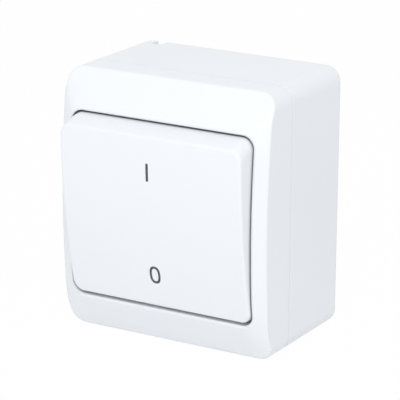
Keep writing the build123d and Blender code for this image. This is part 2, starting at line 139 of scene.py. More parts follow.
class Graph:
    """A node tree being built, with short ways to add and join its nodes."""

    def __init__(self, tree: bpy.types.NodeTree) -> None:
        """Keeps the tree that nodes are added to."""
        self.tree = tree

    @classmethod
    def of(cls, owner: bpy.types.ID) -> "Graph":
        """Starts the tree of a material or a world.

        Args:
            owner: the material or world.

        Returns:
            The graph of its emptied tree.
        """
        owner.use_nodes = True
        owner.node_tree.nodes.clear()
        return cls(owner.node_tree)

    def add(self, kind: str, inputs: dict[str | int, Any] | None = None, **settings: Any) -> bpy.types.Node:
        """Adds one node.

        Args:
            kind: Blender's name for the type of node.
            inputs: values or output sockets for its inputs, by name or by place.
            settings: the node's own options.

        Returns:
            The new node.
        """
        node = self.tree.nodes.new(kind)
        for name, value in settings.items():
            setattr(node, name, value)
        for key, value in (inputs or {}).items():
            if isinstance(value, Socket):
                self.tree.links.new(value, node.inputs[key])
            else:
                node.inputs[key].default_value = value
        return node

    def math(self, operation: str, *values: Any, clamp: bool = False) -> Socket:
        """Adds a Math node.

        Args:
            operation: the sum it does, such as ADD or MULTIPLY.
            values: its numbers or sockets, in order.
            clamp: whether the result is kept between 0 and 1.

        Returns:
            The result's socket.
        """
        settings = {"operation": operation, "use_clamp": clamp}
        return self.add("ShaderNodeMath", dict(enumerate(values)), **settings).outputs[0]

    def ramp(self, value: Any, low: Any, high: Any, to_low: Any = 0.0, to_high: Any = 1.0) -> Socket:
        """Adds a clamped Map Range node.

        Args:
            value: the number or socket that is mapped.
            low: the value that gives to_low.
            high: the value that gives to_high.
            to_low: the result at and below low.
            to_high: the result at and above high.

        Returns:
            The mapped value's socket.
        """
        return self.add("ShaderNodeMapRange", {0: value, 1: low, 2: high, 3: to_low, 4: to_high}).outputs[0]

    def blend(self, factor: Any, first: Any, second: Any) -> Socket:
        """Adds a colour Mix node.

        Args:
            factor: how far the result is from first to second.
            first: the colour or socket at factor 0.
            second: the colour or socket at factor 1.

        Returns:
            The mixed colour's socket.
        """
        ends = (value if isinstance(value, Socket) else (*value, 1.0) for value in (first, second))
        values = {0: factor, **dict(zip((6, 7), ends))}
        return self.add("ShaderNodeMix", values, data_type="RGBA").outputs[2]

    def place(self) -> Socket:
        """Adds the Object coordinates."""
        return self.add("ShaderNodeTexCoord").outputs["Object"]

    def noise(self, place: Socket, scale: Any, detail: float, rough: float = 0.5, swirl: float = 0.0) -> Socket:
        """Adds a Noise Texture node.

        Args:
            place: the coordinates it is read at.
            scale: its scale.
            detail: how many finer layers it has.
            rough: how strong the finer layers are.
            swirl: how far it is distorted.

        Returns:
            The value's socket.
        """
        values = {"Vector": place, "Scale": scale, "Detail": detail, "Roughness": rough, "Distortion": swirl}
        return self.add("ShaderNodeTexNoise", values).outputs["Fac"]

    def vector(self, **parts: Any) -> Socket:
        """Joins numbers or sockets named X, Y and Z to a vector."""
        return self.add("ShaderNodeCombineXYZ", dict(parts)).outputs[0]

    def use(self, group: bpy.types.NodeTree, **values: Any) -> Any:
        """Places a shared group with values for its inputs, and gives the sockets of its outputs."""
        return self.add("ShaderNodeGroup", spaced(values), node_tree=group).outputs

    def end(self, **outputs: Socket) -> bpy.types.NodeTree:
        """Ends a shader node group.

        Args:
            outputs: the socket behind each output, by the output's name.

        Returns:
            The finished group.
        """
        kinds = {"VALUE": "NodeSocketFloat", "VECTOR": "NodeSocketVector", "RGBA": "NodeSocketColor"}
        for title, socket in outputs.items():
            self.tree.interface.new_socket(title, in_out="OUTPUT", socket_type=kinds[socket.type])
        self.add("NodeGroupOutput", outputs)
        return self.tree


class SharedEffects:
    """The shader node groups that more than one finish uses, each built once."""

    def __init__(self) -> None:
        """Builds every group."""
        self.soft_edges = self._soft_edges()
        self.moulded_skin = self._moulded_skin()
        self.tone_drift = self._tone_drift()
        self.drawn_lines = self._drawn_lines()
        self.handling = self._handling()
        self.close_gaps = self._close_gaps()

    @staticmethod
    def _group(name: str, **values: Any) -> tuple[Graph, Any]:
        """Starts a shader node group.

        Args:
            name: the group's name.
            values: usual value of each input: a number, a vector of three or a colour of four.

        Returns:
            The graph and the sockets of its inputs.
        """
        tree = bpy.data.node_groups.new(name, "ShaderNodeTree")
        kinds = {1: "NodeSocketFloat", 3: "NodeSocketVector", 4: "NodeSocketColor"}
        for title, value in spaced(values).items():
            kind = kinds[len(value) if isinstance(value, tuple) else 1]
            tree.interface.new_socket(title, in_out="INPUT", socket_type=kind).default_value = value
        graph = Graph(tree)
        return graph, graph.add("NodeGroupInput").outputs

    def _soft_edges(self) -> bpy.types.NodeTree:
        """Builds the group that rounds edges in the normal and masks them.

        Returns:
            The group, with outputs Normal and Edge.
        """
        graph, given = self._group("soft_edges", Radius=0.4 * MM)
        rounded = graph.add("ShaderNodeBevel", {"Radius": given["Radius"]}, samples=8).outputs[0]
        plain = graph.add("ShaderNodeNewGeometry").outputs["Normal"]
        along = graph.add("ShaderNodeVectorMath", {0: rounded, 1: plain}, operation="DOT_PRODUCT")
        return graph.end(Normal=rounded, Edge=graph.ramp(along.outputs["Value"], 0.995, 0.80))

    def _moulded_skin(self) -> bpy.types.NodeTree:
        """Builds the group with the fine orange-peel grain and slow waves of a moulded wall.

        Returns:
            The group, with outputs Height and Grain.
        """
        graph, given = self._group("moulded_skin", Grain_Scale=2600.0, Wave_Scale=55.0, Wave_Share=0.4)
        place = graph.place()
        grain = graph.noise(place, given["Grain Scale"], 2.0, 0.55)
        waves = graph.noise(place, given["Wave Scale"], 1.0, 0.4)
        return graph.end(Height=graph.math("MULTIPLY_ADD", waves, given["Wave Share"], grain), Grain=grain)

    def _tone_drift(self) -> bpy.types.NodeTree:
        """Builds the group that lets a colour drift a little over a piece, with fine specks in it.

        Returns:
            The group, with output Colour.
        """
        tones = {"Colour": (0.8, 0.8, 0.8, 1.0), "Second_Colour": (0.7, 0.7, 0.7, 1.0)}
        graph, given = self._group("tone_drift", **tones, Scale=60.0, Amount=0.5, Specks=0.1)
        place = graph.place()
        cloud = graph.ramp(graph.noise(place, given["Scale"], 3.0), 0.35, 0.65)
        speck = graph.ramp(graph.noise(place, 1900.0, 1.0), 0.60, 0.75)
        drift = graph.math("MULTIPLY", cloud, given["Amount"], clamp=True)
        share = graph.math("MULTIPLY", speck, given["Specks"], clamp=True)
        base = graph.blend(drift, given["Colour"], given["Second Colour"])
        return graph.end(Colour=graph.blend(share, base, given["Second Colour"]))

    def _drawn_lines(self) -> bpy.types.NodeTree:
        """Builds the group with the long fine lines that rolling and drawing leave in metal.

        Returns:
            The group, with output Lines.
        """
        graph, given = self._group("drawn_lines", Across=(2400.0, 2400.0, 120.0))
        ends = {0: graph.place(), 1: given["Across"]}
        stretched = graph.add("ShaderNodeVectorMath", ends, operation="MULTIPLY")
        return graph.end(Lines=graph.noise(stretched.outputs[0], 1.0, 4.0))

    def _handling(self) -> bpy.types.NodeTree:
        """Builds the group with the faint smears that fingers leave on a glossy face.

        Returns:
            The group, with output Smear.
        """
        graph, given = self._group("handling", Scale=90.0, Amount=0.5)
        smears = graph.ramp(graph.noise(graph.place(), given["Scale"], 5.0, 0.6, 0.8), 0.48, 0.72)
        return graph.end(Smear=graph.math("MULTIPLY", smears, given["Amount"], clamp=True))

    def _close_gaps(self) -> bpy.types.NodeTree:
        """Builds the group that masks a face where another piece stands close before it, by ambient occlusion;
        the mask places painted gap shade.

        Returns:
            The group, with output Gap.
        """
        graph, given = self._group("close_gaps", Reach=0.9 * MM)
        space = graph.add("ShaderNodeAmbientOcclusion", {"Distance": given["Reach"]}, samples=12)
        return graph.end(Gap=graph.ramp(space.outputs["AO"], 0.8, 0.2))


@dataclass(frozen=True)
class Finish:
    """What every finish shares: two tones, soft edges and bump, joined to one shader.

    The radius of the edges and the depth of the bump are in millimetres.
    """

    name: str
    colour: Colour
    shade: Colour
    roughness: float = 0.3
    edge_radius: float = 0.2
    bump: float = 0.2
    bump_depth: float = 0.01
    ior: float = 1.5
    metallic: float = 0.0

    def start(self, effects: SharedEffects) -> tuple[bpy.types.Material, Graph, Any]:
        """Makes the empty material.

        Args:
            effects: the shared node groups.

        Returns:
            The material, its graph and the outputs of the soft edges.
        """
        material = bpy.data.materials.new(self.name)
        graph = Graph.of(material)
        return material, graph, graph.use(effects.soft_edges, Radius=self.edge_radius * MM)

    def tone(self, graph: Graph, effects: SharedEffects, drift: Triple) -> Socket:
        """Adds the drift between the two tones.

        Args:
            graph: the material's graph.
            effects: the shared node groups.
            drift: its scale, its amount and the share of specks.

        Returns:
            The colour's socket.
        """
        values = {"Colour": (*self.colour, 1.0), "Second_Colour": (*self.shade, 1.0)}
        values.update(zip(("Scale", "Amount", "Specks"), drift))
        return graph.use(effects.tone_drift, **values)["Colour"]

    def paler(self, gain: float) -> Colour:
        """Gives the colour times a gain, each part at most 1."""
        return tuple(clamped(part * gain) for part in self.colour)

    def join(self, graph: Graph, soft: Any, colour: Socket, rough: Socket, height: Socket) -> None:
        """Joins colour, roughness and bump to the shader, and the shader to the surface.

        Args:
            graph: the material's graph.
            soft: the outputs of the soft edges.
            colour: the colour's socket.
            rough: the roughness's socket.
            height: the socket of the height that makes the bump.
        """
        values = {"Strength": self.bump, "Distance": self.bump_depth * MM, "Height": height}
        bump = graph.add("ShaderNodeBump", {**values, "Normal": soft["Normal"]}).outputs[0]
        ends = {"Base Color": colour, "Roughness": rough, "Normal": bump}
        constants = {"IOR": self.ior, "Metallic": self.metallic}
        shader = graph.add("ShaderNodeBsdfPrincipled", {**ends, **constants})
        graph.add("ShaderNodeOutputMaterial", {"Surface": shader.outputs[0]})


@dataclass(frozen=True)
class MouldedWhite(Finish):
    """Glossy white thermoplastic of the box, the surround and the rocker.

    With its painted gap shade given as two shares, painted shade darkens the faces in the narrow gap where
    another piece stands close, in place of the gap's shadow: by the first share below the two shade levels and
    by the second above them.
    """

    roughness: float = 0.285
    edge_radius: float = 0.45
    bump: float = 0.10
    bump_depth: float = 0.02
    ior: float = 1.49
    drift: Triple = (45.0, 0.35, 0.15)
    smear_share: float = 0.07
    grain_share: float = 0.05
    painted_gap_shade: tuple[float, float] | None = None
    painted_shade_levels: tuple[float, float] = (23.0, 25.5)
    # Near-black colour of the painted gap shade.
    painted_shade: Colour = (0.05, 0.052, 0.056)

    def build(self, effects: SharedEffects) -> bpy.types.Material:
        """Builds the material.

        Args:
            effects: the shared node groups.

        Returns:
            The finished material.
        """
        material, graph, soft = self.start(effects)
        colour = self.tone(graph, effects, self.drift)
        skin = graph.use(effects.moulded_skin)
        touch = graph.use(effects.handling, Scale=70.0, Amount=0.45)["Smear"]
        rough = graph.math("MULTIPLY_ADD", touch, self.smear_share, self.roughness)
        rough = graph.math("MULTIPLY_ADD", skin["Grain"], self.grain_share, rough)
        # Painted shade: an ambient-occlusion mask darkens the faces in the gap towards the near-black colour,
        # more above the upper level than below the lower one.
        if self.painted_gap_shade:
            level = graph.add("ShaderNodeSeparateXYZ", {0: graph.place()}).outputs["Z"]
            low, high = (height * MM for height in self.painted_shade_levels)
            share = graph.ramp(level, low, high, *self.painted_gap_shade)
            painted_shade = graph.math("MULTIPLY", graph.use(effects.close_gaps)["Gap"], share)
            colour = graph.blend(painted_shade, colour, self.painted_shade)
        self.join(graph, soft, colour, rough, skin["Height"])
        return material


@dataclass(frozen=True)
class InsulatingCompound(Finish):
    """Satin compound of the block, the plate, the carrier and the plungers."""

    roughness: float = 0.46
    edge_radius: float = 0.25
    bump: float = 0.35
    bump_depth: float = 0.04
    drift: Triple = (160.0, 0.7, 0.6)
    grain_share: float = 0.14
    edge_gain: float = 1.12

    def build(self, effects: SharedEffects) -> bpy.types.Material:
        """Builds the material.

        Args:
            effects: the shared node groups.

        Returns:
            The finished material.
        """
        material, graph, soft = self.start(effects)
        skin = graph.use(effects.moulded_skin, Grain_Scale=1700.0, Wave_Scale=140.0, Wave_Share=0.8)
        rough = graph.math("MULTIPLY_ADD", skin["Grain"], self.grain_share, self.roughness)
        tone = self.tone(graph, effects, self.drift)
        colour = graph.blend(soft["Edge"], tone, self.paler(self.edge_gain))
        self.join(graph, soft, colour, rough, skin["Height"])
        return material


@dataclass(frozen=True)
class RolledMetal(Finish):
    """Brass strip, silver contact or drawn spring wire, with the lines of its making."""

    edge_radius: float = 0.12
    bump: float = 0.3
    metallic: float = 1.0
    drift: Triple = (260.0, 0.5, 0.2)
    across: Triple = (2000.0, 2000.0, 2000.0)
    line_share: float = 0.22
    edge_gain: float = 1.15
    edge_share: float = 0.6

    def build(self, effects: SharedEffects) -> bpy.types.Material:
        """Builds the material.

        Args:
            effects: the shared node groups.

        Returns:
            The finished material.
        """
        material, graph, soft = self.start(effects)
        lines = graph.use(effects.drawn_lines, Across=self.across)["Lines"]
        edge = graph.math("MULTIPLY", soft["Edge"], self.edge_share)
        tone = self.tone(graph, effects, self.drift)
        colour = graph.blend(edge, tone, self.paler(self.edge_gain))
        rough = graph.math("MULTIPLY_ADD", lines, self.line_share, self.roughness - self.line_share / 2)
        self.join(graph, soft, colour, rough, lines)
        return material


@dataclass(frozen=True)
class PlatedSteel(Finish):
    """Zinc-plated steel of the screws, with the mottled crystals of its coat."""

    bump: float = 0.15
    metallic: float = 1.0
    crystal_scale: float = 1100.0
    crystal_contrast: float = 0.8
    crystal_share: float = 0.2
    bright: Colour = (0.92, 0.92, 0.93)
    edge_share: float = 0.5

    def build(self, effects: SharedEffects) -> bpy.types.Material:
        """Builds the material.

        Args:
            effects: the shared node groups.

        Returns:
            The finished material.
        """
        material, graph, soft = self.start(effects)
        values = {"Vector": graph.place(), "Scale": self.crystal_scale, "Randomness": 1.0}
        crystals = graph.add("ShaderNodeTexVoronoi", values).outputs["Distance"]
        level = graph.math("MULTIPLY", crystals, self.crystal_contrast, clamp=True)
        edge = graph.math("MULTIPLY", soft["Edge"], self.edge_share)
        colour = graph.blend(edge, graph.blend(level, self.colour, self.shade), self.bright)
        rough = graph.math("MULTIPLY_ADD", level, self.crystal_share, self.roughness)
        self.join(graph, soft, colour, rough, level)
        return material


@dataclass(frozen=True)
class PrintedInk(Finish):
    """Dark gray pad-printed ink of the two marks."""

    roughness: float = 0.35
    edge_radius: float = 0.03
    drift: Triple = (900.0, 0.6, 0.3)
    grain_share: float = 0.2

    def build(self, effects: SharedEffects) -> bpy.types.Material:
        """Builds the material.

        Args:
            effects: the shared node groups.

        Returns:
            The finished material.
        """
        material, graph, soft = self.start(effects)
        skin = graph.use(effects.moulded_skin, Grain_Scale=4200.0)
        rough = graph.math("MULTIPLY_ADD", skin["Grain"], self.grain_share, self.roughness)
        self.join(graph, soft, self.tone(graph, effects, self.drift), rough, skin["Height"])
        return material


class ShapeTree:
    """A Geometry Nodes tree being built, and the way a piece is made from it."""

    def __init__(self, name: str, sizes: dict[str, float], **values: float) -> None:
        """Starts the tree.

        Args:
            name: the tree's name.
            sizes: usual value of each named length, in millimetres. Its input is in metres.
            values: usual value of each other named number.
        """
        self.tree = bpy.data.node_groups.new(name, "GeometryNodeTree")
        face = self.tree.interface
        face.new_socket("Geometry", in_out="INPUT", socket_type="NodeSocketGeometry")
        self.values = {**{title: size * MM for title, size in sizes.items()}, **values}
        self.sockets: dict[str, str] = {}
        for title, value in self.values.items():
            socket = face.new_socket(title, in_out="INPUT", socket_type="NodeSocketFloat")
            socket.default_value = value
            self.sockets[title] = socket.identifier
        finish = face.new_socket("Finish", in_out="INPUT", socket_type="NodeSocketMaterial")
        self.sockets["Finish"] = finish.identifier
        face.new_socket("Geometry", in_out="OUTPUT", socket_type="NodeSocketGeometry")
        self.graph = Graph(self.tree)
        self.given = self.graph.add("NodeGroupInput").outputs

    def position(self) -> Any:
        """Adds the position of each point, as the sockets X, Y and Z."""
        spot = self.graph.add("GeometryNodeInputPosition").outputs[0]
        return self.graph.add("ShaderNodeSeparateXYZ", {0: spot}).outputs

    def joined(self, first: Socket, second: Socket) -> Socket:
        """Joins two geometries.

        Args:
            first: the first one's socket.
            second: the other's.

        Returns:
            The socket of both together.
        """
        both = self.graph.add("GeometryNodeJoinGeometry", {0: first})
        self.graph.tree.links.new(second, both.inputs[0])
        return both.outputs[0]

    def coil(self, turns: Any, radius: str, steps: int, wire: str, sides: int, bend: Any = None) -> Socket:
        """Winds a wire to a coil along z, as long as the input Length.

        Args:
            turns: its number of turns.
            radius: the name of the input with the coil's radius.
            steps: the coil's points per turn.
            wire: the name of the input with the wire's radius.
            sides: the wire's sides.
            bend: the socket of each point's new position, if the turns aren't even.

        Returns:
            The mesh's socket.
        """
        graph, given = self.graph, self.given
        ends = {"Start Radius": given[radius], "End Radius": given[radius], "Height": given["Length"]}
        values = {"Resolution": steps, "Rotations": turns, **ends}
        curve = graph.add("GeometryNodeCurveSpiral", values).outputs[0]
        if bend is not None:
            curve = graph.add("GeometryNodeSetPosition", {0: curve, "Position": bend}).outputs[0]
        values = {"Resolution": sides, "Radius": given[wire]}
        profile = graph.add("GeometryNodeCurvePrimitiveCircle", values, mode="RADIUS").outputs[0]
        values = {"Curve": curve, "Profile Curve": profile, "Fill Caps": True}
        return graph.add("GeometryNodeCurveToMesh", values).outputs[0]

    def seat(self, shape: Socket) -> "ShapeTree":
        """Turns a shape by the input Tilt, moves it to the input Pivot and ends the tree.

        Args:
            shape: the shape's socket.

        Returns:
            This tree.
        """
        back = self.graph.math("MULTIPLY", self.given["Pivot"], -1.0)
        turn = {"Translation": self.graph.vector(Y=back), "Rotation": self.graph.vector(X=self.given["Tilt"])}
        return self.close(self.graph.add("GeometryNodeTransform", {"Geometry": shape, **turn}).outputs[0])

    def close(self, shape: Socket) -> "ShapeTree":
        """Ends the tree with real geometry, smooth faces and its material.

        Args:
            shape: the socket of the finished shape.

        Returns:
            This tree.
        """
        real = self.graph.add("GeometryNodeRealizeInstances", {0: shape}).outputs[0]
        smooth = self.graph.add("GeometryNodeSetShadeSmooth", {0: real, "Shade Smooth": True}).outputs[0]
        dressed = self.graph.add("GeometryNodeSetMaterial", {0: smooth, "Material": self.given["Finish"]})
        self.graph.add("NodeGroupOutput", {0: dressed.outputs[0]})
        return self

    def piece(
        self, name: str, finish: bpy.types.Material, spots: tuple[Triple, ...] = ((0, 0, 0),), **sizes: float
    ) -> bpy.types.Object:
        """Makes one plain mesh object from the tree.

        Args:
            name: the piece's name.
            finish: its material.
            spots: points that the tree builds on, if it needs them, in millimetres.
            sizes: lengths for the named inputs, in millimetres.

        Returns:
            The mesh object, at the origin, with its place in its mesh.
        """
        seed = bpy.data.meshes.new(name + "_seed")
        seed.from_pydata([tuple(Vector(spot) * MM) for spot in spots], [], [])
        draft = placed(name + "_draft", seed)
        modifier = draft.modifiers.new("shape", "NODES")
        modifier.node_group = self.tree
        named = {title: size * MM for title, size in spaced(sizes).items()}
        for title, value in {**self.values, **named}.items():
            modifier[self.sockets[title]] = float(value)
        modifier[self.sockets["Finish"]] = finish
        mesh = applied(draft)
        mesh.name = name
        log.info("%s: %d faces", name, len(mesh.polygons))
        return placed(name, mesh)


@dataclass
class SurroundShell:
    """The bevelled surround: a clean copy of its solid with a rounded lip and soft mitres.

    A facing or a lean is how far a face's normal points out of the wall, or aside: 1 is fully.
    """

    half_width: float = 33.0
    half_height: float = 38.0
    opening_width: float = 58.4
    opening_height: float = 54.1
    opening_corner: float = 3.6
    opening_shift: float = -0.25
    lip_above: float = 0.10
    lip_aside: float = 0.12
    lip_below: float = 0.80
    lip_steps: int = 5
    corner_steps: int = 10
    side_steps: int = 14
    overshoot: float = 0.01
    edge_offset: float = 0.02
    cutter_inset: float = 0.6
    cutter_height: float = 1.0
    weld: float = 0.002
    flat_angle: float = 0.2
    crease: float = 32.0
    crest_depth: float = -42.0
    front_depth: float = -34.0
    outer_facing: float = 0.02
    band_facing: float = 0.8
    flank_lean: float = 0.45
    end_lean: float = 0.4
    corner_zone: tuple[float, float] = (14.0, 17.0)
    corner_cell: float = 1.25
    mitre_softness: tuple[float, float] = (1.8, 3.4)
    mitre_fade: tuple[float, float] = (2.0, 5.0)
    shading_weight: int = 80

    def outline(self) -> list[tuple[Vector, Vector]]:
        """Walks once round the opening, seen from the front.

        Returns:
            Points of the outline with the outward direction at each, in millimetres, as x and z.
        """
        half = Vector((self.opening_width / 2, self.opening_height / 2)) - Vector((1, 1)) * self.opening_corner
        walk: list[tuple[Vector, Vector]] = []
        for quarter, (side, level) in enumerate(((1, 1), (-1, 1), (-1, -1), (1, -1))):
            centre = Vector((side * half.x, level * half.y + self.opening_shift))
            for step in range(self.corner_steps + 1):
                turn = math.radians(90.0 * (quarter + step / self.corner_steps))
                outward = Vector((math.cos(turn), math.sin(turn)))
                walk.append((centre + outward * self.opening_corner, outward))
            along = Vector((-side, 0)) * half.x if quarter % 2 == 0 else Vector((0, -level)) * half.y
            start, outward = walk[-1]
            parts = (2 * step / self.side_steps for step in range(1, self.side_steps))
            walk.extend((start + along * part, outward) for part in parts)
        return walk

    def lip_cutter(self, front: BVHTree) -> bpy.types.Object:
        """Makes the ring that takes the sharp lip of the opening off to a round.

        Args:
            front: the surround's faces, to read the height of its front from.

        Returns:
            The ring's object.
        """
        form = bmesh.new()
        sections = []
        for point, outward in self.outline():
            end = self.lip_above if outward.y > 0 else self.lip_below
            radius = self.lip_aside + (end - self.lip_aside) * outward.y**2
            edge = self.height(front, point + outward * self.edge_offset)
            far = self.height(front, point + outward * radius)
            wall = Vector((-self.overshoot, edge + radius))
            corner, face = Vector((0, edge)), Vector((radius, far - self.overshoot))
            inner, top = -self.cutter_inset, far - self.cutter_height
            round_part = [
                wall * (1 - t) ** 2 + corner * (2 * t * (1 - t)) + face * t**2
                for t in (step / self.lip_steps for step in range(self.lip_steps + 1))
            ]
            profile = [Vector((inner, wall.y)), *round_part, Vector((radius, top)), Vector((inner, top))]
            spots = (point + outward * spot.x for spot in profile)
            sections.append([form.verts.new((p.x * MM, s.y * MM, p.y * MM)) for p, s in zip(spots, profile)])
        for first, second in zip(sections, sections[1:] + sections[:1]):
            for k in range(len(first)):
                form.faces.new((first[k - 1], first[k], second[k], second[k - 1]))
        bmesh.ops.recalc_face_normals(form, faces=form.faces)
        return self.as_object(form, "lip_cutter")

    @staticmethod
    def height(front: BVHTree, spot: Vector) -> float:
        """Reads the front's y at a place seen from the front, both in millimetres."""
        return front.ray_cast(Vector((spot.x, -100.0, spot.y)) * MM, Vector((0, 1, 0)))[0].y / MM

    def front_faces(self, form: bmesh.types.BMesh, facing: float) -> list[bmesh.types.BMFace]:
        """Picks the faces of the surround's front.

        Args:
            form: the mesh of the surround.
            facing: how far a face looks away from the wall, from 0 to 1.

        Returns:
            The outer faces that look away from the wall at least as far.
        """
        deepest = self.front_depth * MM
        return [f for f in form.faces if f.normal.y < -facing and f.calc_center_median().y < deepest]

    def divide_corners(self, form: bmesh.types.BMesh) -> None:
        """Divides the front near its corners into small cells.

        Args:
            form: the mesh of the surround.
        """
        for axis, first, last in zip((0, 2), self.corner_zone, (self.half_width, self.half_height)):
            for step in range(int((last - first) / self.corner_cell)):
                for sign in (-1, 1):
                    place, direction = Vector(), Vector()
                    place[axis] = sign * (first + step * self.corner_cell) * MM
                    direction[axis] = 1.0
                    front = self.front_faces(form, self.outer_facing)
                    edges, verts = {e for f in front for e in f.edges}, {v for f in front for v in f.verts}
                    geom = [*front, *edges, *verts]
                    bmesh.ops.bisect_plane(form, geom=geom, dist=1e-7, plane_co=place, plane_no=direction)

    def soften_mitres(self, form: bmesh.types.BMesh) -> None:
        """Rounds the ridges where the side bands meet the upper and lower ones.

        Args:
            form: the mesh of the surround, with its corners divided.
        """
        form.normal_update()
        front = self.front_faces(form, self.band_facing)
        crest = Vector((self.opening_width / 2, self.crest_depth, self.opening_height / 2)) * MM
        corners = []
        for side, level in ((1, 1), (-1, 1), (1, -1), (-1, -1)):
            corner = Vector((side * crest.x, crest.y, level * crest.z))
            flanks = [f for f in front if f.normal.x * side > self.flank_lean]
            flank = min(flanks, key=lambda f: (f.calc_center_median() - corner).length)
            ends = [f for f in front if f.normal.z * level > self.end_lean]
            end = max(ends, key=lambda f: f.calc_area())
            planes = [(face.calc_center_median(), face.normal.copy()) for face in (flank, end)]
            corners.append((side, level, planes, self.mitre_softness[0 if level > 0 else 1]))
        outer = [v for v in form.verts if any(f.normal.y < -self.outer_facing for f in v.link_faces)]
        for vert in outer:
            for side, level, planes, softness in corners:
                if vert.co.x * side > 0 and vert.co.z * level > 0:
                    vert.co.y = self.softened(vert.co, planes, softness)

    def softened(self, spot: Vector, planes: list[tuple[Vector, Vector]], softness: float) -> float:
        """Moves a place back as far as the rounding of its mitre takes it.

        Args:
            spot: the place, in metres.
            planes: a point and the normal of the two bands that meet in the mitre.
            softness: the difference in height over which they run into each other, in millimetres.

        Returns:
            The place's new y.
        """
        heights = [
            point.y - (normal.x * (spot.x - point.x) + normal.z * (spot.z - point.z)) / normal.y
            for point, normal in planes
        ]
        near = max(0.0, softness - abs(heights[0] - heights[1]) / MM) / softness
        fall = near * near * softness / 4 * MM
        depth = (spot.y - max(heights)) / MM
        within = abs(spot.x) < self.opening_width / 2 * MM and abs(spot.z) < self.opening_height / 2 * MM
        first, last = self.mitre_fade
        if within and depth < first:
            return max(spot.y, max(heights) + fall)
        return spot.y + fall * clamped((last - depth) / (last - first))

    @staticmethod
    def as_object(form: bmesh.types.BMesh, name: str) -> bpy.types.Object:
        """Ends a mesh under construction.

        Args:
            form: the mesh, which is freed.
            name: the new object's name.

        Returns:
            The object.
        """
        mesh = bpy.data.meshes.new(name)
        form.to_mesh(mesh)
        form.free()
        return placed(name, mesh)

    def build(self, frame: dict[str, Any], material: bpy.types.Material) -> None:
        """Makes the finished shell, whose flat faces shade flat up to their rounded edges.

        Args:
            frame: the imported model.
            material: the surround's material.
        """
        form = bmesh.new()
        form.from_mesh(frame["nodes"]["front_cover"].data)
        bmesh.ops.remove_doubles(form, verts=form.verts, dist=self.weld * MM)
        whole = {"verts": form.verts, "edges": form.edges, "use_dissolve_boundaries": False}
        bmesh.ops.dissolve_limit(form, angle_limit=math.radians(self.flat_angle), **whole)
        cutter = self.lip_cutter(BVHTree.FromBMesh(form))
        draft = self.as_object(form, "surround_draft")
        cut = draft.modifiers.new("lip", "BOOLEAN")
        cut.operation, cut.solver, cut.object = "DIFFERENCE", "EXACT", cutter
        rounded = applied(draft)
        bpy.data.objects.remove(cutter)
        form = bmesh.new()
        form.from_mesh(rounded)
        self.divide_corners(form)
        self.soften_mitres(form)
        for face in form.faces:
            face.smooth = True
        for edge in form.edges:
            edge.smooth = edge.calc_face_angle(math.pi) < math.radians(self.crease)
        draft = self.as_object(form, "surround_divided")
        weighted = draft.modifiers.new("weights", "WEIGHTED_NORMAL")
        weighted.mode, weighted.weight, weighted.keep_sharp = "FACE_AREA", self.shading_weight, True
        shell = placed("surround_shell", applied(draft))
        shell.data.materials.clear()
        shell.data.materials.append(material)
        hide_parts("front_cover")
        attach(shell, "housing")
        log.info("surround_shell: %d faces", len(shell.data.polygons))


@dataclass
class Housing:
    """Rear box, surround and the fixed inside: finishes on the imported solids."""

    white: MouldedWhite = MouldedWhite(
        "surround_white", (0.866, 0.882, 0.906), (0.846, 0.864, 0.890), edge_radius=0.9
    )
    box_white: MouldedWhite = MouldedWhite(
        "rear_box_white", (0.862, 0.879, 0.904), (0.842, 0.861, 0.888), roughness=0.3, bump=0.12
    )
    block: InsulatingCompound = InsulatingCompound("block_compound", (0.60, 0.585, 0.54), (0.50, 0.485, 0.44))
    plate: InsulatingCompound = InsulatingCompound("plate_compound", (0.70, 0.69, 0.65), (0.62, 0.61, 0.57))

    def dress(self, frame: dict[str, Any], effects: SharedEffects) -> None:
        """Gives the fixed pieces their materials.

        Args:
            frame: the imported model.
            effects: the shared node groups.
        """
        SurroundShell().build(frame, self.white.build(effects))
        dress_nodes(frame, self.box_white.build(effects), "rear_base")
        dress_nodes(frame, self.block.build(effects), "mechanism_block")
        dress_nodes(frame, self.plate.build(effects), "mechanism_plate")


@dataclass
class CurrentPath:
    """Terminals, contact strips, rocking blades and contact tips."""

    brass: RolledMetal = RolledMetal(
        "strip_brass", (0.78, 0.58, 0.27), (0.58, 0.40, 0.17), 0.32, across=(2600.0, 2600.0, 140.0)
    )
    turned_brass: RolledMetal = RolledMetal(
        "terminal_brass",
        (0.80, 0.60, 0.28),
        (0.62, 0.43, 0.19),
        0.28,
        across=(160.0, 2400.0, 2400.0),
        drift=(260.0, 0.4, 0.2),
    )
    silver: RolledMetal = RolledMetal(
        "contact_silver",
        (0.88, 0.87, 0.85),
        (0.62, 0.60, 0.57),
        0.26,
        across=(900.0, 900.0, 900.0),
        drift=(260.0, 0.6, 0.2),
    )
    sides: tuple[str, str] = ("left", "right")

    def dress(self, frame: dict[str, Any], effects: SharedEffects) -> None:
        """Gives the current-carrying pieces their materials.

        Args:
            frame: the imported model.
            effects: the shared node groups.
        """
        strip, turned, silver = (f.build(effects) for f in (self.brass, self.turned_brass, self.silver))
        for side in self.sides:
            strips = (f"contact_saddle_{side}", f"fixed_contact_{side}", f"moving_contact_{side}")
            dress_nodes(frame, strip, *strips)
            dress_nodes(frame, turned, f"terminal_top_{side}", f"terminal_bottom_{side}")
            dress_nodes(frame, silver, f"fixed_tip_{side}", f"moving_tip_{side}")


@dataclass(frozen=True)
class Thread:
    """The threads of one kind of screw: x and z of each, the depth of its seat, and its size."""

    name: str
    spots: tuple[tuple[float, float], ...]
    seat: float
    radius: float
    length: float


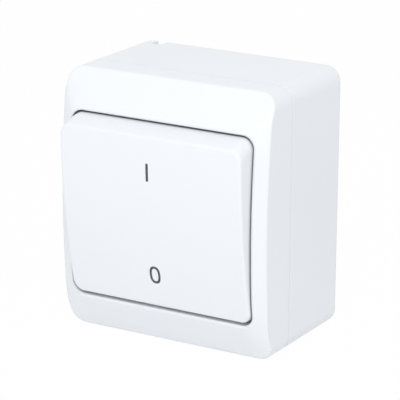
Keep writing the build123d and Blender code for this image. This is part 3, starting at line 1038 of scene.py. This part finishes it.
@dataclass
class ScrewSet:
    """The slotted screws of the terminals, the block and the surround, with their threads."""

    finish: PlatedSteel = PlatedSteel("zinc_plated_steel", (0.70, 0.71, 0.73), (0.50, 0.51, 0.53))
    ridge: float = 0.09
    ridge_sides: int = 4
    pitch: float = 0.6
    steps: int = 14
    head_gap: float = 0.4
    terminal: Thread = Thread(
        "terminal_screw_threads", ((-8.5, -20.4), (-8.5, 20.4), (8.5, -20.4), (8.5, 20.4)), 20.0, 1.45, 3.3
    )
    block: Thread = Thread("mechanism_screw_threads", ((0.0, -20.5), (0.0, 20.5)), 9.0, 1.4, 6.8)
    cover: Thread = Thread("cover_screw_threads", ((-23.5, 0.0), (23.5, 0.0)), 30.0, 1.3, 9.0)

    def thread_tree(self) -> ShapeTree:
        """Builds the tree that winds one thread round each given spot, towards the wall.

        Returns:
            The tree, with inputs Shank Radius, Length, Pitch and Ridge.
        """
        sizes = {"Shank Radius": 1.4, "Length": 6.0, "Pitch": self.pitch, "Ridge": self.ridge}
        shape = ShapeTree("screw_thread", sizes)
        graph, given = shape.graph, shape.given
        turns = graph.math("DIVIDE", given["Length"], given["Pitch"])
        thread = shape.coil(turns, "Shank Radius", self.steps, "Ridge", self.ridge_sides)
        turn = {"Geometry": thread, "Rotation": (-math.pi / 2, 0.0, 0.0)}
        laid = graph.add("GeometryNodeTransform", turn).outputs[0]
        points = graph.add("GeometryNodeMeshToPoints", {"Mesh": given["Geometry"]}).outputs[0]
        values = {"Points": points, "Instance": laid}
        return shape.close(graph.add("GeometryNodeInstanceOnPoints", values).outputs[0])

    def dress(self, frame: dict[str, Any], effects: SharedEffects) -> None:
        """Dresses the screws and winds their threads.

        Args:
            frame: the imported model.
            effects: the shared node groups.
        """
        steel = self.finish.build(effects)
        dress_nodes(frame, steel, "terminal_screws", "mechanism_screws", "cover_screws")
        tree = self.thread_tree()
        for kind in (self.terminal, self.block, self.cover):
            spots = tuple((x, -(kind.seat - self.head_gap), z) for x, z in kind.spots)
            threads = tree.piece(kind.name, steel, spots, Shank_Radius=kind.radius, Length=kind.length)
            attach(threads, "housing")


class MarkKind(Enum):
    """The two generic marks of the switch."""

    LINE = "mark_on_line"
    RING = "mark_off_ring"


@dataclass
class Rocker:
    """The large key with its marks, its carrier, plungers and springs."""

    pivot: float = 38.0
    tilt: float = 7.55
    face_reach: float = 9.15
    face_radius: float = 186.0
    mark_height: float = 15.35
    mark_length: float = 5.2
    ring_length: float = 5.3
    mark_stroke: float = 0.73
    ring_stroke: float = 0.66
    ring_width: float = 3.38
    ring_fullness: float = 2.5
    line_shift: float = -0.57
    ring_shift: float = -0.34
    outline_points: int = 72
    end_points: int = 10
    ink_thickness: float = 0.07
    ink_sink: float = 0.02
    wire_radius: float = 0.22
    wire_sides: int = 10
    close_pitch: float = 2.15
    coil_radius: float = 1.12
    coil_turns: float = 8.0
    coil_steps: int = 24
    spring_foot: float = 14.83
    spring_length: float = 17.56
    pole: float = 8.5
    slide: float = 0.8
    # The rocker's white carries painted shade in the narrow gap round it, stronger along the top.
    white: MouldedWhite = MouldedWhite(
        "rocker_white",
        (0.865, 0.881, 0.905),
        (0.848, 0.866, 0.891),
        bump=0.08,
        edge_radius=0.8,
        painted_gap_shade=(0.55, 0.95),
    )
    carrier: InsulatingCompound = InsulatingCompound(
        "carrier_nylon", (0.80, 0.79, 0.75), (0.72, 0.71, 0.66), 0.4
    )
    plunger: InsulatingCompound = InsulatingCompound(
        "plunger_nylon", (0.74, 0.73, 0.69), (0.66, 0.65, 0.60), 0.38
    )
    wire: RolledMetal = RolledMetal(
        "spring_wire", (0.62, 0.63, 0.65), (0.42, 0.42, 0.43), drift=(260.0, 0.4, 0.2)
    )
    ink: PrintedInk = PrintedInk("mark_ink", (0.055, 0.06, 0.066), (0.10, 0.105, 0.11))

    @property
    def outward(self) -> Vector:
        """Direction out of the rocker's face at rest."""
        turn = math.radians(self.tilt)
        return Vector((0.0, -math.cos(turn), -math.sin(turn)))

    def bar_outline(self, graph: Graph, width: Any, height: Any) -> Socket:
        """Draws an upright bar with full round ends.

        Args:
            graph: the graph that the nodes go into.
            width: the bar's width.
            height: its height.

        Returns:
            The curve's socket.
        """
        size = {"Width": width, "Height": height}
        bar = graph.add("GeometryNodeCurvePrimitiveQuadrilateral", size).outputs[0]
        ends = {"Curve": bar, "Count": self.end_points, "Radius": graph.math("MULTIPLY", width, 0.499)}
        bar = graph.add("GeometryNodeFilletCurve", ends, mode="POLY").outputs[0]
        even = {"Curve": bar, "Count": self.outline_points}
        return graph.add("GeometryNodeResampleCurve", even, mode="COUNT").outputs[0]

    def oval_outline(self, shape: ShapeTree, width: Any, height: Any) -> Socket:
        """Draws an upright oval with full shoulders.

        Args:
            shape: the tree that the nodes go into.
            width: the oval's width.
            height: its height.

        Returns:
            The curve's socket.
        """
        graph, spot = shape.graph, shape.position()
        unit = {"Resolution": self.outline_points, "Radius": 1.0}
        circle = graph.add("GeometryNodeCurvePrimitiveCircle", unit, mode="RADIUS").outputs[0]
        powers = [graph.math("POWER", graph.math("ABSOLUTE", spot[k]), self.ring_fullness) for k in "XY"]
        swell = graph.math("POWER", graph.math("ADD", *powers), -1.0 / self.ring_fullness)
        moved = {}
        for axis, size in (("X", width), ("Y", height)):
            full = graph.math("MULTIPLY", spot[axis], swell)
            moved[axis] = graph.math("MULTIPLY", full, graph.math("MULTIPLY", size, 0.5))
        values = {0: circle, "Position": graph.vector(**moved)}
        return graph.add("GeometryNodeSetPosition", values).outputs[0]

    def mark_tree(self, kind: MarkKind) -> ShapeTree:
        """Builds the tree of one mark: an outline, filled, thickened and laid on the curved face.

        Args:
            kind: which mark it is.

        Returns:
            The tree, with the mark's sizes as inputs.
        """
        sizes = {
            "Width": self.mark_stroke,
            "Height": self.mark_length,
            "Stroke": self.mark_stroke,
            "Centre": self.mark_height,
            "Across": self.line_shift,
            "Thickness": self.ink_thickness,
            "Face Reach": self.face_reach,
            "Face Radius": self.face_radius,
            "Pivot": self.pivot,
        }
        shape = ShapeTree(kind.value, sizes, Tilt=math.radians(self.tilt))
        graph, given = shape.graph, shape.given

        whole = [given[title] for title in ("Width", "Height")]
        if kind is MarkKind.LINE:
            edge = self.bar_outline(graph, *whole)
        else:
            stroke = graph.math("MULTIPLY", given["Stroke"], 2.0)
            hole = [graph.math("SUBTRACT", size, stroke) for size in whole]
            edge = shape.joined(self.oval_outline(shape, *whole), self.oval_outline(shape, *hole))
        flat = graph.add("GeometryNodeFillCurve", {"Curve": edge}, mode="TRIANGLES").outputs[0]
        lift = {"Mesh": flat, "Offset Scale": given["Thickness"], "Individual": False}
        raised = graph.add("GeometryNodeExtrudeMesh", lift, mode="FACES").outputs[0]
        solid = shape.joined(raised, graph.add("GeometryNodeFlipFaces", {"Mesh": flat}).outputs[0])
        closed = graph.add("GeometryNodeMergeByDistance", {0: solid, "Distance": 0.001 * MM}).outputs[0]

        spot = shape.position()
        height = graph.math("ADD", spot["Y"], given["Centre"])
        square = graph.math("MULTIPLY", height, height)
        fall = graph.math("SUBTRACT", graph.math("POWER", given["Face Radius"], 2.0), square)
        reach = graph.math("SUBTRACT", given["Face Reach"], given["Face Radius"])
        reach = graph.math("ADD", reach, graph.math("SQRT", fall))
        reach = graph.math("ADD", reach, graph.math("SUBTRACT", spot["Z"], self.ink_sink * MM))
        across = graph.math("ADD", spot["X"], given["Across"])
        bent = graph.vector(X=across, Y=graph.math("MULTIPLY", reach, -1.0), Z=height)
        return shape.seat(graph.add("GeometryNodeSetPosition", {0: closed, "Position": bent}).outputs[0])

    def spring_tree(self) -> ShapeTree:
        """Builds the tree of a coil spring whose end turns are wound close.

        Returns:
            The tree, with the spring's sizes as inputs.
        """
        sizes = {
            "Coil Radius": self.coil_radius,
            "Wire Radius": self.wire_radius,
            "Length": self.spring_length,
            "Foot": self.spring_foot,
            "Across": self.pole,
            "Pivot": self.pivot,
        }
        shape = ShapeTree("plunger_spring", sizes, Turns=self.coil_turns, Tilt=math.radians(self.tilt))
        graph, given = shape.graph, shape.given
        spot = shape.position()
        turn = graph.math("MULTIPLY", graph.math("DIVIDE", spot["Z"], given["Length"]), given["Turns"])
        close = graph.math("MULTIPLY", given["Wire Radius"], self.close_pitch)
        last = graph.math("SUBTRACT", given["Turns"], 1.0)
        free = graph.math("SUBTRACT", given["Length"], graph.math("MULTIPLY", close, 2.0))
        start = graph.ramp(turn, 0.0, 1.0, 0.0, close)
        middle = graph.ramp(turn, 1.0, last, 0.0, free)
        finish = graph.ramp(turn, last, given["Turns"], 0.0, close)
        height = graph.math("ADD", graph.math("ADD", start, middle), finish)
        rise = graph.vector(X=spot["X"], Y=spot["Y"], Z=height)
        body = shape.coil(
            given["Turns"], "Coil Radius", self.coil_steps, "Wire Radius", self.wire_sides, rise
        )
        foot = graph.vector(X=given["Across"], Y=given["Foot"])
        values = {"Geometry": body, "Translation": foot, "Rotation": (math.pi / 2, 0.0, 0.0)}
        return shape.seat(graph.add("GeometryNodeTransform", values).outputs[0])

    def dress(self, frame: dict[str, Any], effects: SharedEffects) -> None:
        """Dresses the rocker's pieces.

        Args:
            frame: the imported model.
            effects: the shared node groups.
        """
        dress_nodes(frame, self.white.build(effects), "rocker_cap")
        dress_nodes(frame, self.carrier.build(effects), "rocker_cradle")
        dress_nodes(frame, self.plunger.build(effects), "plunger_left", "plunger_right")
        self.mark(self.ink.build(effects))
        self.wind_springs(self.wire.build(effects))

    def mark(self, ink: bpy.types.Material) -> None:
        """Prints the two marks on the face.

        Args:
            ink: their material.
        """
        line = self.mark_tree(MarkKind.LINE).piece("mark_on_line", ink)
        ring = self.mark_tree(MarkKind.RING).piece(
            "mark_off_ring",
            ink,
            Width=self.ring_width,
            Height=self.ring_length,
            Stroke=self.ring_stroke,
            Centre=-self.mark_height,
            Across=self.ring_shift,
        )
        for printed in (line, ring):
            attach(printed, "rocker")

    def wind_springs(self, steel: bpy.types.Material) -> None:
        """Winds the two plunger springs in place of the plain ones.

        Args:
            steel: their material.
        """
        tree = self.spring_tree()
        for side, name in ((-1, "left"), (1, "right")):
            spring = tree.piece(f"coil_spring_{name}", steel, Across=side * self.pole)
            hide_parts(f"plunger_spring_{name}")
            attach(spring, "rocker")
            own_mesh(spring)


@dataclass
class Studio:
    """White ground, soft light and the camera at the photograph's angle."""

    azimuth: float = 30.377
    elevation: float = 16.85
    roll: float = 0.394
    distance: float = 654.02
    focal_pixels: float = 2323.856
    frame_pixels: float = 400.0
    centre: tuple[float, float] = (201.963, 198.85)
    shift: tuple[float, float] = (2.704, 1.218)
    target: Triple = (0.0, -25.0, -0.54)
    sensor_width: float = 36.0
    floor_level: float = -38.0
    floor_size: float = 3000.0
    floor_colour: Colour = (0.86, 0.87, 0.88)
    floor_glow: float = 0.98
    sky: float = 0.775
    sky_colour: Colour = (0.95, 0.975, 1.0)
    backdrop: Colour = (1.0, 1.0, 1.0)
    key_power: float = 1.79
    key_spot: Triple = (285.0, -505.0, 500.0)
    key_size: float = 420.0
    key_tint: Colour = (1.0, 0.988, 0.972)
    front_power: float = 0.60
    front_spot: Triple = (-60.0, -760.0, 60.0)
    front_size: float = 520.0

    def build(self) -> None:
        """Sets up the ground, the sky, the lamps and the camera."""
        bpy.context.scene.view_settings.view_transform = "Standard"
        self.ground()
        self.light()
        self.camera()

    def ground(self) -> None:
        """Lays the pale ground under the object."""
        size, level = self.floor_size * MM, self.floor_level * MM
        mesh = bpy.data.meshes.new("ground")
        corners = [(-size, -size, level), (size, -size, level), (size, size, level), (-size, size, level)]
        mesh.from_pydata(corners, [], [(0, 1, 2, 3)])
        ground = placed("ground", mesh)
        material = bpy.data.materials.new("ground_white")
        graph = Graph.of(material)
        paper = graph.add("ShaderNodeBsdfDiffuse", {"Color": (*self.floor_colour, 1.0)}).outputs[0]
        shine = {"Color": (*self.backdrop, 1.0), "Strength": 1.0}
        glow = graph.add("ShaderNodeEmission", shine).outputs[0]
        share = graph.math("MULTIPLY", self.seen(graph), self.floor_glow)
        lit = graph.add("ShaderNodeMixShader", {0: share, 1: paper, 2: glow}).outputs[0]
        clear = graph.add("ShaderNodeBsdfTransparent").outputs[0]
        under = graph.add("ShaderNodeNewGeometry").outputs["Backfacing"]
        both = graph.add("ShaderNodeMixShader", {0: under, 1: lit, 2: clear})
        graph.add("ShaderNodeOutputMaterial", {"Surface": both.outputs[0]})
        mesh.materials.append(material)
        log.info("ground at %.1f mm", self.floor_level)

    @staticmethod
    def seen(graph: Graph) -> Socket:
        """Adds a value that is 1 for the rays that show the white ground and backdrop.

        Args:
            graph: the graph that the nodes go into.

        Returns:
            A socket that is 1 for a camera, glossy or transmission ray.
        """
        ray = graph.add("ShaderNodeLightPath").outputs
        shown = graph.math("MAXIMUM", ray["Is Camera Ray"], ray["Is Glossy Ray"])
        return graph.math("MAXIMUM", shown, ray["Is Transmission Ray"])

    def light(self) -> None:
        """Sets the even sky and the two large lamps in front of the object."""
        world = bpy.data.worlds.new("studio_sky")
        bpy.context.scene.world = world
        graph = Graph.of(world)
        soft, white = (
            graph.add("ShaderNodeBackground", {"Color": (*colour, 1.0), "Strength": strength}).outputs[0]
            for colour, strength in ((self.sky_colour, self.sky), (self.backdrop, 1.0))
        )
        both = graph.add("ShaderNodeMixShader", {0: self.seen(graph), 1: soft, 2: white})
        graph.add("ShaderNodeOutputWorld", {"Surface": both.outputs[0]})
        self.lamp("key_panel", self.key_spot, self.key_size, self.key_power).color = self.key_tint
        self.lamp("front_panel", self.front_spot, self.front_size, self.front_power)
        log.info("sky %.2f, key %.2f W, front %.2f W", self.sky, self.key_power, self.front_power)

    def lamp(self, name: str, spot: Triple, size: float, power: float) -> bpy.types.AreaLight:
        """Hangs one square panel lamp that faces the object.

        Args:
            name: the lamp's name.
            spot: its place, in millimetres.
            size: the length of its side, in millimetres.
            power: its power, in watts.

        Returns:
            The lamp's light, which is white.
        """
        data = bpy.data.lights.new(name, "AREA")
        data.shape = "SQUARE"
        data.size = size * MM
        data.energy = power
        place = Vector(spot)
        aim = (Vector(self.target) - place).to_track_quat("-Z", "Y")
        placed(name, data).matrix_world = Matrix.Translation(place * MM) @ aim.to_matrix().to_4x4()
        return data

    def camera(self) -> None:
        """Places the camera where the photograph was fitted to stand."""
        turn, rise, roll = (math.radians(a) for a in (self.azimuth, self.elevation, self.roll))
        back = Vector((math.sin(turn) * math.cos(rise), -math.cos(turn) * math.cos(rise), math.sin(rise)))
        level = (-back).cross(Vector((0.0, 0.0, 1.0))).normalized()
        upright = level.cross(-back)
        right = level * math.cos(roll) + upright * math.sin(roll)
        up = upright * math.cos(roll) - level * math.sin(roll)
        across, over = self.shift
        place = Vector(self.target) + back * self.distance + right * across + up * over
        data = bpy.data.cameras.new("photo_camera")
        data.sensor_width = self.sensor_width
        data.lens = self.focal_pixels / self.frame_pixels * self.sensor_width
        data.shift_x = (self.frame_pixels / 2 - self.centre[0]) / self.frame_pixels
        data.shift_y = (self.centre[1] - self.frame_pixels / 2) / self.frame_pixels
        data.clip_start = 0.01
        data.clip_end = 20.0
        camera = placed("photo_camera", data)
        columns = Matrix((right, up, back)).transposed()
        camera.matrix_world = Matrix.Translation(place * MM) @ columns.to_4x4()
        bpy.context.scene.camera = camera
        log.info("camera lens %.2f mm", data.lens)


def main() -> None:
    """Loads the frame and builds every sub-assembly in order."""
    logging.basicConfig(level=logging.INFO, format="%(message)s")
    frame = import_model()
    effects = SharedEffects()
    Housing().dress(frame, effects)
    CurrentPath().dress(frame, effects)
    ScrewSet().dress(frame, effects)
    Rocker().dress(frame, effects)
    Studio().build()


if __name__ == "__main__":
    main()
